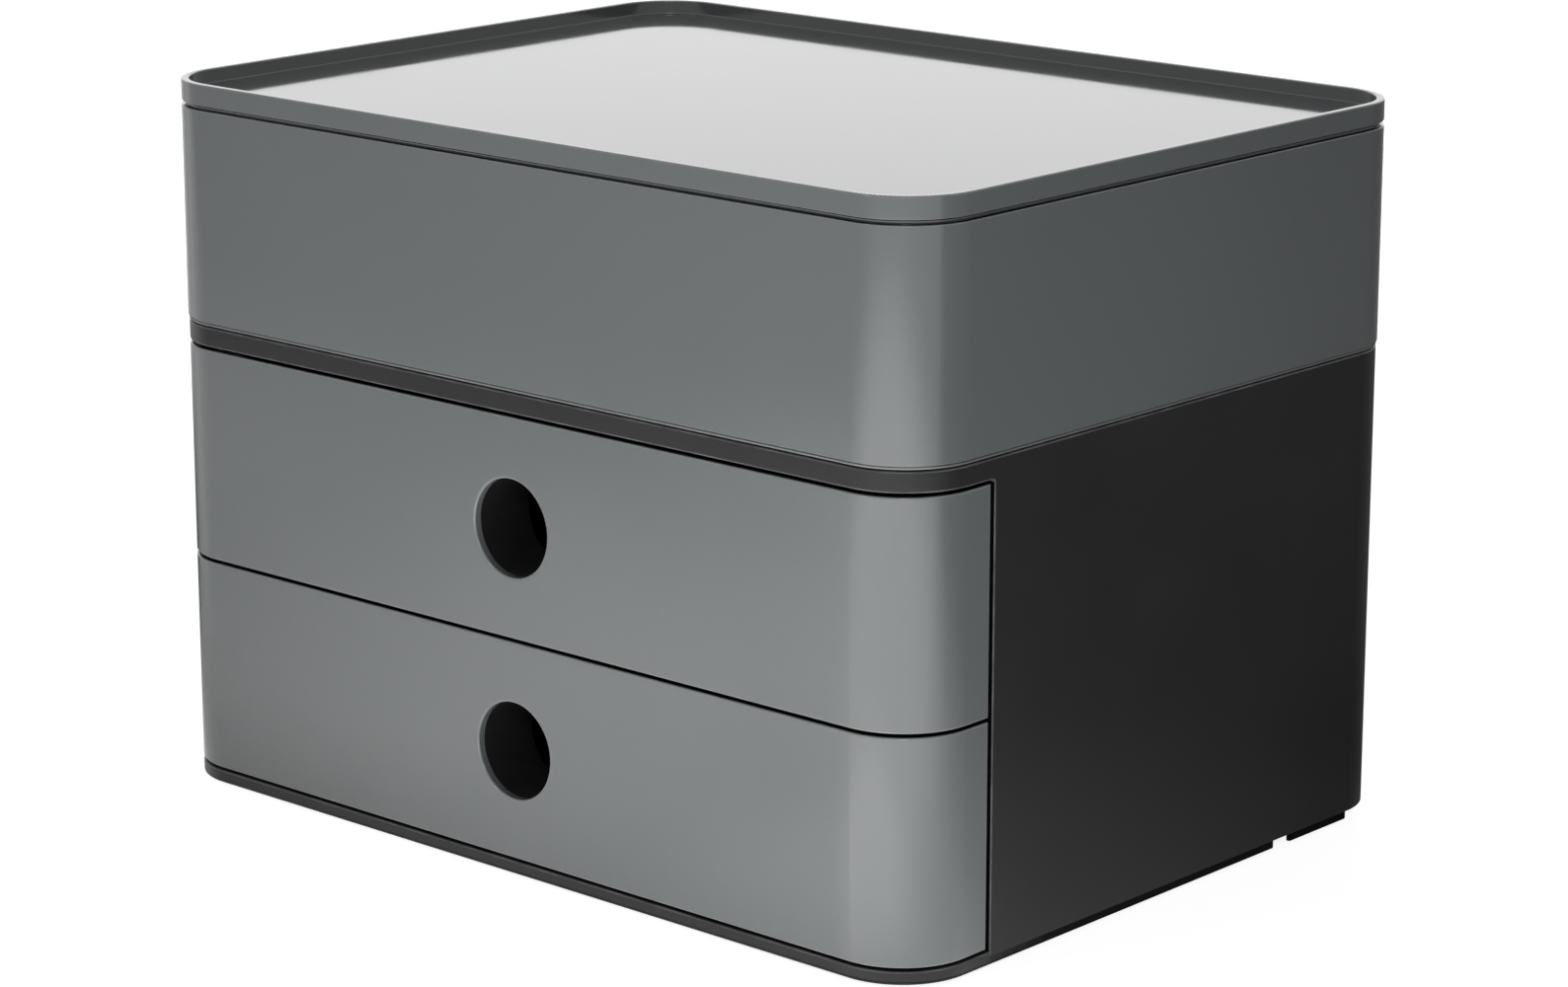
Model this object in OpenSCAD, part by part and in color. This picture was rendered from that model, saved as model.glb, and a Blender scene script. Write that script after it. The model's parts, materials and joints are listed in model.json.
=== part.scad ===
// Desktop file drawer: a dark carcass with two drawers, a utensil box that stands
// on its deck, and a lift-off lid with a raised rim. Millimetres, +Z up, front is -Y.
// Origin: centre of the footprint, on the surface that the rubber feet stand on.

/* [Overall] */
// Width over the box and the lid
unit_w = 260; // [230:1:300]
// Depth over the box and the lid
unit_d = 195; // [180:1:240]
// Radius of the four upright corners
corner_r = 19.5; // [16:0.5:26]
// How far the carcass and the drawer fronts stand back from the box
carcass_inset = 0.3; // [0.1:0.1:0.8]
// Thickness of the moulded outer walls
wall = 2.4; // [2:0.1:3]

/* [Drawers] */
// Height of a drawer front
front_h = 56.4; // [50:0.1:66]
// Gap above and below each front
gap = 0.9; // [0.6:0.1:1.5]
// How far a front reaches back along the side
front_return = 27.3; // [24:0.1:32]
// Diameter of the finger hole
finger_d = 25; // [20:0.5:30]
// How far a drawer pulls out
drawer_travel = 130; // [90:1:130]
// Wall thickness of a drawer tray
tray_wall = 2; // [1.8:0.1:2.6]

/* [Carcass] */
// Height of the band of the deck that shows above the drawers
band_h = 5.2; // [4.5:0.1:8]
// Thickness of the deck plate
deck_t = 2.6; // [2:0.1:3.5]
// How far the base skirt reaches below the side walls
skirt_h = 1.9; // [1.4:0.1:3]
// Distance from the rest surface to the skirt
foot_gap = 1.2; // [0.8:0.1:3]
// Diameter of a rubber foot
foot_d = 16; // [10:1:20]

/* [Box and lid] */
// Height of the utensil box wall
box_h = 56.3; // [40:0.1:80]
// Gap between the box and the deck
box_gap = 0.5; // [0.3:0.1:1]
// Height of the dark groove under the lid
lid_groove = 0.65; // [0.4:0.05:1.2]
// Height of the lid above the groove
lid_h = 6.15; // [5:0.05:12]
// Depth of the tray in the lid
lid_recess = 3.8; // [2.5:0.1:5]
// Thickness of the lid's rim
lid_rim = 2.2; // [1.6:0.1:3]

/* [Hidden] */
$fn = 64;
eps = 1;

granite = [0.44, 0.46, 0.47];
anthracite = [0.16, 0.16, 0.17];
rubber_black = [0.06, 0.06, 0.06];
silicone = [0.72, 0.73, 0.74];
zinc = [0.70, 0.71, 0.72];

// Levels, from the rest surface upwards
skirt_z = foot_gap;
side_z = skirt_z + skirt_h;
lip_z = side_z + 1.1;
lower_z = lip_z + gap;
upper_z = lower_z + front_h + gap;
band_z = upper_z + front_h + gap;
deck_z = band_z + band_h;
box_z = deck_z + box_gap;
box_top_z = box_z + box_h;
lid_z = box_top_z + lid_groove;
lid_top_z = lid_z + lid_h;
drawer_levels = [lower_z, upper_z];

// Carcass outline and its inside
carcass_w = unit_w - 2 * carcass_inset;
carcass_d = unit_d - 2 * carcass_inset;
carcass_r = corner_r - carcass_inset;
inner_x = carcass_w / 2 - wall;
side_front_y = -unit_d / 2 + front_return + gap;
back_in_y = carcass_d / 2 - wall;

// Base plate
base_t = 1.8;
skirt_w = 2.6;
skirt_inset = 0.9;
skirt_end_y = unit_d / 2 - 20.5;
notch_y = 45.4;
notch_w = 7.8;
notch_depth = 3.4;
foot_x = unit_w / 2 - 24;
foot_y = unit_d / 2 - 22;

// Screws that hold the base under the side walls
boss_r = 3;
boss_h = 12;
boss_x = inner_x - boss_r;
boss_y = [-52, 8, 66];
screw_r = 1.3;
screw_head_r = 2.6;
screw_head_h = 1.3;
screw_len = 9;

// Back panel, a plug that is pushed out from the inside
back_open_x = carcass_w / 2 - carcass_r - 4.5;
back_clear = 0.2;
back_flange = 3.4;
back_flange_t = 2;

// Drawer tray, measured from the bottom of its front
tray_lift = 1.9;
tray_h = 51.5;
tray_x = unit_w / 2 - 9.5;
front_in_y = -carcass_d / 2 + wall;
tray_front_y = front_in_y + 5;
tray_rear_y = unit_d / 2 - 9.5;
flange_t = 2;
flange_x = unit_w / 2 - 5.8;
flange_top = tray_lift + tray_h;
ear_x = flange_x + 1.1;
ear_len = 6;
reach_r = 17;

// Runner, a C-shaped channel on each side wall
runner_web = 1.6;
runner_reach = 6.2;
runner_front_y = side_front_y + 3.3;
runner_rear_y = unit_d / 2 - 21.5;
ledge_t = 1.8;
slide_clear = 0.2;
stop_len = 4;
stop_x = flange_x + 0.4;
ear_front_y = runner_front_y + stop_len + 0.5 + drawer_travel;

// Bosses and screws between a front and its tray
front_boss_r = 3.5;
front_boss_x = 72;
front_boss_z = 15;
front_screw_len = 6;

// Rubber bumpers behind the trays
bumper_r = 4;
bumper_x = 78;
bumper_z = 30;
bumper_clear = 0.3;

// Box and lid
box_floor = 2.4;
box_foot_h = 0.8;
box_foot_inset = 0.5;
box_rim_inset = 1.2;
pad_r = 6;
pad_t = 1.5;
pad_x = unit_w / 2 - 28;
pad_y = unit_d / 2 - 28;
lid_step_h = 0.7;
lid_step_inset = 1;
lid_ring_clear = 0.4;
lid_ring_t = 1.8;
lid_ring_h = 4.5;

// Rectangle with round corners
module round_rect(w, d, r) {
    square([w - 2 * r, d], center = true);
    square([w, d - 2 * r], center = true);
    for (x = [-1, 1])
        for (y = [-1, 1])
            translate([x * (w / 2 - r), y * (d / 2 - r)])
                circle(r = r);
}

// Outline of the box and the lid, moved inwards by inset
module unit_outline(inset = 0) {
    round_rect(unit_w - 2 * inset, unit_d - 2 * inset, corner_r - inset);
}

// Outline of the carcass and the fronts, moved inwards by inset
module carcass_outline(inset = 0) {
    round_rect(carcass_w - 2 * inset, carcass_d - 2 * inset, carcass_r - inset);
}

// Plain block from one corner to the opposite one
module block(low, high) {
    translate(low)
        cube(high - low);
}

// Cylinder along Y from y0 to y1
module rod_y(x, z, r, y0, y1) {
    translate([x, y0, z])
        rotate([-90, 0, 0])
            cylinder(r = r, h = y1 - y0);
}

// Base plate with the front lip, the skirt and the cable notches
module base_plate() {
    color(anthracite)
        difference() {
            union() {
                translate([0, 0, side_z])
                    linear_extrude(lip_z - side_z)
                        base_top_outline();
                translate([0, 0, lip_z - base_t])
                    linear_extrude(side_z - lip_z + base_t)
                        slab_outline();
                translate([0, 0, skirt_z])
                    linear_extrude(side_z - skirt_z)
                        skirt_outline();
            }
            for (side = [-1, 1])
                for (y = boss_y) {
                    translate([side * boss_x, y, -eps])
                        cylinder(r = screw_r + 0.3, h = lip_z + 2 * eps);
                    translate([side * boss_x, y, -eps])
                        cylinder(r = screw_head_r + 0.3, h = skirt_z + eps + screw_head_h + 0.4);
                }
        }
}

// Top of the base: the full outline in front, and inside the side walls behind
module base_top_outline() {
    intersection() {
        carcass_outline();
        translate([-unit_w / 2, -unit_d / 2])
            square([unit_w, side_front_y + unit_d / 2]);
    }
    intersection() {
        carcass_outline(wall);
        translate([-unit_w / 2, side_front_y - eps])
            square([unit_w, unit_d]);
    }
}

// The skirt runs along the front and both sides, with a notch in each side
module skirt_outline() {
    difference() {
        carcass_outline(skirt_inset);
        carcass_outline(skirt_inset + skirt_w);
        translate([-unit_w / 2, skirt_end_y])
            square([unit_w, unit_d]);
        side_notches();
    }
}

// The slab is cut back at the notches and round the rear, where the skirt stops
module slab_outline() {
    difference() {
        carcass_outline(skirt_inset);
        side_notches();
        difference() {
            translate([-unit_w / 2, skirt_end_y])
                square([unit_w, unit_d]);
            carcass_outline(notch_depth);
        }
    }
}

module side_notches() {
    for (side = [-1, 1])
        translate([side * unit_w / 2, notch_y + notch_w / 2])
            square([2 * notch_depth, notch_w], center = true);
}

// Deck, side walls and rear corners in one moulding
module carcass_shell() {
    color(anthracite) {
        difference() {
            translate([0, 0, side_z])
                linear_extrude(deck_z - side_z)
                    carcass_outline();
            translate([0, 0, side_z - eps])
                linear_extrude(deck_z - side_z - deck_t + eps)
                    carcass_outline(wall);
            block([-unit_w, -unit_d, side_z - eps], [unit_w, side_front_y, band_z]);
            block([-back_open_x, 0, side_z - eps], [back_open_x, unit_d, deck_z - deck_t - 2]);
        }
        for (side = [-1, 1])
            for (y = boss_y)
                screw_boss(side, y);
    }
}

// Post inside a side wall that takes a base screw
module screw_boss(side, y) {
    difference() {
        union() {
            translate([side * boss_x, y, lip_z])
                cylinder(r = boss_r, h = boss_h);
            translate([side * (boss_x + boss_r / 2 + 0.1), y, lip_z + boss_h / 2])
                cube([boss_r + 0.2, 2 * boss_r - 1, boss_h], center = true);
        }
        translate([side * boss_x, y, lip_z - eps])
            cylinder(r = screw_r, h = screw_len + eps);
    }
}

module back_panel() {
    plug_x = back_open_x - back_clear;
    top = deck_z - deck_t - 2;
    color(anthracite)
        union() {
            block([-plug_x, back_in_y, lip_z], [plug_x, back_in_y + wall - 0.4, top - back_clear]);
            block([-plug_x - back_flange, back_in_y - back_flange_t, lip_z],
                  [plug_x + back_flange, back_in_y, top + 2 - back_clear]);
        }
}

module base_screws() {
    head_z = skirt_z + screw_head_h + 0.4;
    color(zinc)
        for (side = [-1, 1])
            for (y = boss_y)
                translate([side * boss_x, y, 0]) {
                    translate([0, 0, head_z - screw_head_h])
                        cylinder(r = screw_head_r, h = screw_head_h);
                    translate([0, 0, head_z])
                        cylinder(r = screw_r, h = lip_z + screw_len - 1 - head_z);
                }
}

module foot(x, y) {
    color(rubber_black)
        translate([x * foot_x, y * foot_y, 0])
            cylinder(r = foot_d / 2, h = lip_z - base_t);
}

// Channel that carries the rim of one tray; side is -1 or 1
module runner(side, level) {
    rim = level + flange_top;
    slot_low = rim - flange_t - slide_clear;
    slot_high = rim + 2 * slide_clear;
    web = [inner_x - runner_web, inner_x];
    color(anthracite)
        mirror([side < 0 ? 1 : 0, 0, 0])
            union() {
                block([web[0], runner_front_y, slot_low - ledge_t],
                      [web[1], runner_rear_y, slot_high + ledge_t]);
                block([inner_x - runner_reach, runner_front_y, slot_low - ledge_t],
                      [web[0], runner_rear_y, slot_low]);
                block([inner_x - runner_reach, runner_front_y, slot_high],
                      [web[0], runner_rear_y, slot_high + ledge_t]);
                block([stop_x, runner_front_y, slot_low],
                      [web[0], runner_front_y + stop_len, slot_high]);
            }
}

module bumpers(level) {
    color(rubber_black)
        for (side = [-1, 1])
            rod_y(side * bumper_x, level + bumper_z, bumper_r,
                  tray_rear_y + bumper_clear, back_in_y - back_flange_t);
}

// Gloss front that wraps round both front corners
module drawer_front(level) {
    color(granite)
        difference() {
            union() {
                translate([0, 0, level])
                    linear_extrude(front_h)
                        front_outline();
                for (x = [-1, 1])
                    for (z = [-1, 1])
                        rod_y(x * front_boss_x, level + front_h / 2 + z * front_boss_z,
                              front_boss_r, front_in_y - 0.5, tray_front_y);
            }
            rod_y(0, level + front_h / 2, finger_d / 2, -unit_d / 2 - eps, tray_front_y + eps);
            for (x = [-1, 1])
                for (z = [-1, 1])
                    rod_y(x * front_boss_x, level + front_h / 2 + z * front_boss_z,
                          screw_r, front_in_y + 0.6, tray_front_y + eps);
        }
}

module front_outline() {
    intersection() {
        difference() {
            carcass_outline();
            carcass_outline(wall);
        }
        translate([-unit_w / 2, -unit_d / 2])
            square([unit_w, front_return]);
    }
}

// Open tray with a rim that runs in the two channels
module drawer_tray(level) {
    tray_d = tray_rear_y - tray_front_y;
    mid_y = (tray_rear_y + tray_front_y) / 2;
    color(anthracite)
        difference() {
            union() {
                translate([0, mid_y, level + tray_lift])
                    linear_extrude(tray_h)
                        round_rect(2 * tray_x, tray_d, 5);
                translate([0, 0, level + flange_top - flange_t])
                    linear_extrude(flange_t) {
                        translate([0, mid_y])
                            round_rect(2 * flange_x, tray_d, 7);
                        rim_front_outline();
                        for (side = [-1, 1])
                            translate([side * (ear_x - 3), ear_front_y + ear_len / 2])
                                square([6, ear_len], center = true);
                    }
            }
            translate([0, mid_y, level + tray_lift + tray_wall])
                linear_extrude(tray_h)
                    round_rect(2 * (tray_x - tray_wall), tray_d - 2 * tray_wall, 3);
            rod_y(0, level + front_h / 2, reach_r, -unit_d / 2, tray_front_y + tray_wall + eps);
            for (x = [-1, 1])
                for (z = [-1, 1])
                    rod_y(x * front_boss_x, level + front_h / 2 + z * front_boss_z,
                          screw_r + 0.3, tray_front_y - eps, tray_front_y + tray_wall + eps);
        }
}

// The rim closes the space behind the front, round both corners
module rim_front_outline() {
    intersection() {
        carcass_outline(wall);
        translate([-unit_w / 2, -unit_d / 2])
            square([unit_w, front_return - 1]);
    }
}

module drawer_screws(level) {
    head_y = tray_front_y + tray_wall;
    color(zinc)
        for (x = [-1, 1])
            for (z = [-1, 1]) {
                rod_y(x * front_boss_x, level + front_h / 2 + z * front_boss_z,
                      screw_head_r, head_y, head_y + screw_head_h);
                rod_y(x * front_boss_x, level + front_h / 2 + z * front_boss_z,
                      screw_r, head_y - front_screw_len, head_y);
            }
}

// Open box with a stepped rim, a stepped foot and four pad pockets
module utensil_box() {
    color(granite)
        difference() {
            union() {
                translate([0, 0, box_z])
                    linear_extrude(box_foot_h)
                        unit_outline(box_foot_inset);
                translate([0, 0, box_z + box_foot_h])
                    linear_extrude(box_h - box_foot_h)
                        unit_outline();
                translate([0, 0, box_top_z])
                    linear_extrude(lid_groove)
                        unit_outline(box_rim_inset);
            }
            translate([0, 0, box_z + box_floor])
                linear_extrude(box_h + lid_groove)
                    unit_outline(wall);
            for (x = [-1, 1])
                for (y = [-1, 1])
                    translate([x * pad_x, y * pad_y, box_z - eps])
                        cylinder(r = pad_r, h = pad_t - box_gap + eps);
        }
}

module box_pads() {
    color(silicone)
        for (x = [-1, 1])
            for (y = [-1, 1])
                translate([x * pad_x, y * pad_y, deck_z])
                    cylinder(r = pad_r, h = pad_t);
}

// Shallow tray with a raised rim, and a ring below that centres it in the box
module lid() {
    ring_inset = wall + lid_ring_clear;
    color(granite) {
        difference() {
            union() {
                translate([0, 0, lid_z])
                    linear_extrude(lid_step_h)
                        unit_outline(lid_step_inset);
                translate([0, 0, lid_z + lid_step_h])
                    linear_extrude(lid_h - lid_step_h)
                        unit_outline();
            }
            translate([0, 0, lid_top_z - lid_recess])
                linear_extrude(lid_recess + eps)
                    unit_outline(lid_rim);
        }
        translate([0, 0, lid_z - lid_ring_h])
            linear_extrude(lid_ring_h)
                difference() {
                    unit_outline(ring_inset);
                    unit_outline(ring_inset + lid_ring_t);
                }
    }
}

base_plate();
carcass_shell();
back_panel();
base_screws();
foot(-1, -1);  // foot_front_left
foot(1, -1);  // foot_front_right
foot(-1, 1);  // foot_rear_left
foot(1, 1);  // foot_rear_right
runner(-1, drawer_levels[0]);  // runner_lower_left
runner(1, drawer_levels[0]);  // runner_lower_right
runner(-1, drawer_levels[1]);  // runner_upper_left
runner(1, drawer_levels[1]);  // runner_upper_right
bumpers(drawer_levels[0]);  // bumpers_lower
bumpers(drawer_levels[1]);  // bumpers_upper
drawer_front(drawer_levels[0]);  // lower_drawer_front
drawer_tray(drawer_levels[0]);  // lower_drawer_tray
drawer_screws(drawer_levels[0]);  // lower_drawer_screws
drawer_front(drawer_levels[1]);  // upper_drawer_front
drawer_tray(drawer_levels[1]);  // upper_drawer_tray
drawer_screws(drawer_levels[1]);  // upper_drawer_screws
utensil_box();
box_pads();
lid();
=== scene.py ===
import json
import math

import bmesh
import bpy
from mathutils import Matrix, Vector


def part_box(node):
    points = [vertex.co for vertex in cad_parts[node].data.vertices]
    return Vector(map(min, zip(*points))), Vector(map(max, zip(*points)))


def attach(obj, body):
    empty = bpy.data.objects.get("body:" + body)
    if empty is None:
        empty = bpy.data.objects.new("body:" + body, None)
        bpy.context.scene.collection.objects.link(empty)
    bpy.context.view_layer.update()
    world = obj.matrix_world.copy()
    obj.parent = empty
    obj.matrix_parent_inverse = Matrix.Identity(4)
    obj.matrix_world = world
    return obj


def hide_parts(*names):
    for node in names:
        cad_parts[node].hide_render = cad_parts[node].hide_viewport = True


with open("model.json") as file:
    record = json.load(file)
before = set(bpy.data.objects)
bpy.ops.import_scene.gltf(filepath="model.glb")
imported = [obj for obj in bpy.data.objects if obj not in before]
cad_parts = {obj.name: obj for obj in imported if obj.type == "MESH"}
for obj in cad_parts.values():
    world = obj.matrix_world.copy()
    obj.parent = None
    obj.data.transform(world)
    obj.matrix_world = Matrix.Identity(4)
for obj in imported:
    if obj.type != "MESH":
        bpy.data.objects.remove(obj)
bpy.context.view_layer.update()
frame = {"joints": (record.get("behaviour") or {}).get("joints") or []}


# ---- Base plate ----
# The floor of the carcass, one satin ABS moulding. Its lip shows as a thin dark line below the
# lower drawer. A skirt with a rounded edge runs under the front and both sides, with a cable
# notch in each side.

mm = 0.001
base_low, base_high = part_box("base_plate")
carcass_low, carcass_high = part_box("carcass_shell")
half_w, half_d = carcass_high.x, carcass_high.y
corner_r = 19.2 * mm
core_x, core_y = half_w - corner_r, half_d - corner_r
wall = 2.4 * mm
drawer_gap = 1.3 * mm
front_end_y = -69.6 * mm
side_front_y = front_end_y + drawer_gap
side_z = carcass_low.z
lip_z = base_high.z + 0.1 * mm
underside_z = 2.4 * mm
skirt_z = base_low.z - 0.3 * mm
skirt_end_y = 77 * mm
notch_y = (45.4 * mm, 53.2 * mm)
skirt_edge_r = 0.6 * mm
skirt_t = 1.5 * mm
lip_edge_r = 0.4 * mm


def blank():
    """Empty mesh that keeps a mark for each face: 1 wear and painted highlight, 0 plain, -1 painted
    shade
    """
    bm = bmesh.new()
    bm.faces.layers.float.new("painted_light_and_wear")
    return bm


def outline(bm, corners, z=0.0, steps=20):
    """Flat face at height z through a few corner points (x, y, radius), each rounded to its radius"""
    verts = [bm.verts.new((x, y, z)) for x, y, radius in corners]
    face = bm.faces.new(verts)
    for vert, (x, y, radius) in zip(verts, corners):
        if radius:
            made = bmesh.ops.bevel(bm, geom=[vert], offset=radius, offset_type="OFFSET", segments=steps,
                                   profile=0.5, affect="VERTICES", material=-1)
            face = made["verts"][0].link_faces[0]
    return face


def points_in(geom):
    """The points among the parts that a mesh operator gives back"""
    return [g for g in geom if isinstance(g, bmesh.types.BMVert)]


def widen(verts, distance):
    """Moves points in plan away from the centres of the four round corners"""
    for vert in verts:
        x, y, z = vert.co
        centre = Vector((max(-core_x, min(core_x, x)), max(-core_y, min(core_y, y)), z))
        vert.co += (vert.co - centre).normalized() * distance


def pull(bm, faces, x=0.0, y=0.0, z=0.0, wider=0.0):
    """Extrudes faces as one region, moves and widens what is new, and returns the new faces"""
    edges = [e for e in bm.edges if any(f in faces for f in e.link_faces)]
    verts = [v for v in bm.verts if any(f in faces for f in v.link_faces)]
    made = bmesh.ops.extrude_face_region(bm, geom=list(faces) + edges + verts)["geom"]
    moved = points_in(made)
    bmesh.ops.translate(bm, verts=moved, vec=(x, y, z))
    if wider:
        widen(moved, wider)
    bmesh.ops.recalc_face_normals(bm, faces=bm.faces)
    return [g for g in made if isinstance(g, bmesh.types.BMFace)]


def inset(bm, faces, width):
    """Insets faces as one region, which stay as its middle, and returns the ring round them"""
    return bmesh.ops.inset_region(bm, faces=faces, thickness=width, depth=0.0, use_boundary=True,
                                  use_even_offset=True)["faces"]


def cut(bm, place, normal):
    """Cuts the whole mesh along a plane and keeps both sides"""
    geom = bm.verts[:] + bm.edges[:] + bm.faces[:]
    bmesh.ops.bisect_plane(bm, geom=geom, dist=1e-7, plane_co=place, plane_no=normal)


def round_off(bm, edges, radius, segments=3, painted_light_and_wear=1.0):
    """Rounds edges to a radius and marks the new faces, with wear and painted highlight unless told
    otherwise
    """
    made = bmesh.ops.bevel(bm, geom=edges, offset=radius, offset_type="OFFSET", segments=segments,
                           profile=0.5, affect="EDGES", material=-1, clamp_overlap=True)
    for face in made["faces"]:
        face[bm.faces.layers.float["painted_light_and_wear"]] = painted_light_and_wear


def near(a, b):
    """True where two sizes are the same to a few hundredths of a millimetre"""
    return abs(a - b) < 0.06 * mm


def reach(point):
    """Distance in plan from the rectangle between the centres of the four round corners"""
    return math.hypot(max(abs(point.x) - core_x, 0), max(abs(point.y) - core_y, 0))


def edges_where(bm, test):
    """Edges with both ends where test is true"""
    return [e for e in bm.edges if all(test(v.co) for v in e.verts)]


def faces_where(bm, test):
    """Faces whose middle is where test is true"""
    return [f for f in bm.faces if test(f.calc_center_median())]


def paint_shade(bm, test, amount=-1.0):
    """Marks the faces whose middle is where test is true with painted shade, as dark as amount says"""
    for face in faces_where(bm, test):
        face[bm.faces.layers.float["painted_light_and_wear"]] = amount


def finished(bm, name, body, nodes, slot, *materials):
    """Makes the mesh an evenly shaded object that rides on a body and stands for its CAD nodes"""
    bmesh.ops.remove_doubles(bm, verts=bm.verts, dist=0.0005 * mm)
    mesh = bpy.data.meshes.new(name)
    bm.to_mesh(mesh)
    bm.free()
    mesh.shade_smooth()
    mesh.set_sharp_from_angle(angle=math.radians(38))
    for material in materials:
        mesh.materials.append(material)
    piece = bpy.data.objects.new(name, mesh)
    bpy.context.scene.collection.objects.link(piece)
    piece.modifiers.new("even_shading", "WEIGHTED_NORMAL").keep_sharp = True
    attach(piece, body)
    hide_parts(*nodes)
    return piece


def srgb(code):
    """Linear RGBA of an sRGB hex colour"""
    parts = [int(code[i:i + 2], 16) / 255 for i in (0, 2, 4)]
    return [p / 12.92 if p <= 0.04045 else ((p + 0.055) / 1.055) ** 2.4 for p in parts] + [1.0]


def add(tree, kind, inputs=(), links=(), **settings):
    """Adds a node with its settings, the values of its inputs and the links into it"""
    node = tree.nodes.new(kind)
    for name, value in settings.items():
        setattr(node, name, value)
    for socket, value in dict(inputs).items():
        node.inputs[socket].default_value = value
    for socket, source in dict(links).items():
        tree.links.new(source, node.inputs[socket])
    return node


def new_material(name):
    """Empty node material, its tree, and the object's own coordinates in millimetres"""
    material = bpy.data.materials.new(name)
    material.use_nodes = True
    tree = material.node_tree
    tree.nodes.clear()
    coords = add(tree, "ShaderNodeTexCoord").outputs["Object"]
    in_mm = add(tree, "ShaderNodeMapping", {"Scale": (1000, 1000, 1000)}, {"Vector": coords})
    return material, tree, in_mm.outputs["Vector"]


def noise(tree, place, size_mm, detail=2.0):
    """Soft noise whose patches are about size_mm across"""
    return add(tree, "ShaderNodeTexNoise", {"Scale": 1 / size_mm, "Detail": detail},
               {"Vector": place}).outputs["Fac"]


def spread(tree, value, low, high, to_low, to_high, kind="LINEAR"):
    """Maps a value from one range to another and holds it there"""
    return add(tree, "ShaderNodeMapRange",
               {"From Min": low, "From Max": high, "To Min": to_low, "To Max": to_high},
               {"Value": value}, interpolation_type=kind).outputs["Result"]


def blended(tree, amount, first, second):
    """Colour between two, each a hex colour or a socket"""
    node = add(tree, "ShaderNodeMixRGB", links={"Fac": amount})
    for socket, colour in (("Color1", first), ("Color2", second)):
        if isinstance(colour, str):
            node.inputs[socket].default_value = srgb(colour)
        else:
            tree.links.new(colour, node.inputs[socket])
    return node.outputs["Color"]


def mark(tree):
    """The mark of each face: 1 wear and painted highlight, 0 plain, -1 painted shade"""
    return add(tree, "ShaderNodeAttribute", attribute_name="painted_light_and_wear").outputs["Fac"]


def edge_wear_and_highlight(tree, place, most):
    """Share of the lighter edge colour, wear and painted highlight: 0 on flat faces, and up to most, in
    patches, on rounded edges
    """
    painted_light_and_wear = spread(tree, mark(tree), 0, 1, 0, 1)
    patches = spread(tree, noise(tree, place, 7, 3.0), 0.35, 0.65, 0.4 * most, most)
    return add(tree, "ShaderNodeMath", links={0: painted_light_and_wear, 1: patches}, operation="MULTIPLY").outputs[0]


def satin_anthracite_abs():
    """Moulded ABS from a finely eroded tool: nearly black, an even sheen, edges lighter from wear and a
    painted highlight, and painted shade with less reflection where marked
    """
    material, tree, place = new_material("satin_anthracite_abs")
    cloud = noise(tree, place, 45, 3.0)
    body = blended(tree, cloud, "222223", "28282A")
    # Lighter edge colour 6A6A6E: partly wear, partly painted highlight
    rubbed_and_highlit = blended(tree, edge_wear_and_highlight(tree, place, 0.8), body, "6A6A6E")
    # Faces marked -1 get painted shade: near black 0C0C0D and a weaker reflection
    unshaded = spread(tree, mark(tree), -1, 0, 0, 1)
    bump = add(tree, "ShaderNodeBump", {"Strength": 0.15, "Distance": 0.03 * mm},
               {"Height": noise(tree, place, 0.6)})
    shader = add(tree, "ShaderNodeBsdfPrincipled", {"IOR": 1.5},
                 {"Base Color": blended(tree, unshaded, "0C0C0D", rubbed_and_highlit),
                  "Roughness": spread(tree, cloud, 0.3, 0.7, 0.32, 0.4),
                  "Specular IOR Level": spread(tree, unshaded, 0, 1, 0.03, 0.22),
                  "Normal": bump.outputs["Normal"]})
    add(tree, "ShaderNodeOutputMaterial", links={"Surface": shader.outputs["BSDF"]})
    return material


anthracite = satin_anthracite_abs()

bm = blank()
plan = [(-half_w, -half_d, corner_r), (half_w, -half_d, corner_r), (half_w, side_front_y, 0),
        (half_w - wall, side_front_y, 0), (half_w - wall, half_d - wall, corner_r - wall),
        (wall - half_w, half_d - wall, corner_r - wall), (wall - half_w, side_front_y, 0),
        (-half_w, side_front_y, 0)]
[lip_under] = pull(bm, [outline(bm, plan, lip_z)], z=side_z - lip_z)
bmesh.ops.delete(bm, geom=[lip_under], context="FACES_ONLY")
rear_path = edges_where(bm, lambda p: near(p.z, side_z) and near(reach(p), corner_r - wall)
                        and p.y > side_front_y - 0.1 * mm)
ledge = bmesh.ops.extrude_edge_only(bm, edges=rear_path)["geom"]
widen(points_in(ledge), wall)
bmesh.ops.remove_doubles(bm, verts=bm.verts, dist=0.01 * mm)
rim = edges_where(bm, lambda p: near(p.z, side_z) and near(reach(p), corner_r))
skirt_top = bmesh.ops.contextual_create(bm, geom=rim)["faces"]
inset(bm, skirt_top, skirt_t)
pull(bm, skirt_top, z=underside_z - side_z)
shade_steps_y = [side_front_y + step * mm for step in (2, 5, 9, 14, 20)]
for y in (*notch_y, skirt_end_y, *shade_steps_y):
    cut(bm, (0, y, 0), (0, 1, 0))


def under_skirt(p):
    """True below the carcass edge where the skirt runs, which leaves out the notches and the rear"""
    return p.y < skirt_end_y and not (notch_y[0] < p.y < notch_y[1] and abs(p.x) > core_x)


edge_ring = [f for f in bm.faces if all(near(v.co.z, side_z) for v in f.verts)
             and reach(f.calc_center_median()) > corner_r - wall]
bmesh.ops.delete(bm, geom=[f for f in edge_ring if not under_skirt(f.calc_center_median())],
                 context="FACES")
bmesh.ops.recalc_face_normals(bm, faces=bm.faces)
skirt = [f for f in edge_ring if f.is_valid and f.normal.z < 0]
pull(bm, skirt, z=skirt_z - side_z)
round_off(bm, edges_where(bm, lambda p: near(p.z, skirt_z) and near(reach(p), corner_r)),
          skirt_edge_r, 3)
round_off(bm, edges_where(bm, lambda p: near(p.z, lip_z) and near(reach(p), corner_r)), lip_edge_r)
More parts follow.
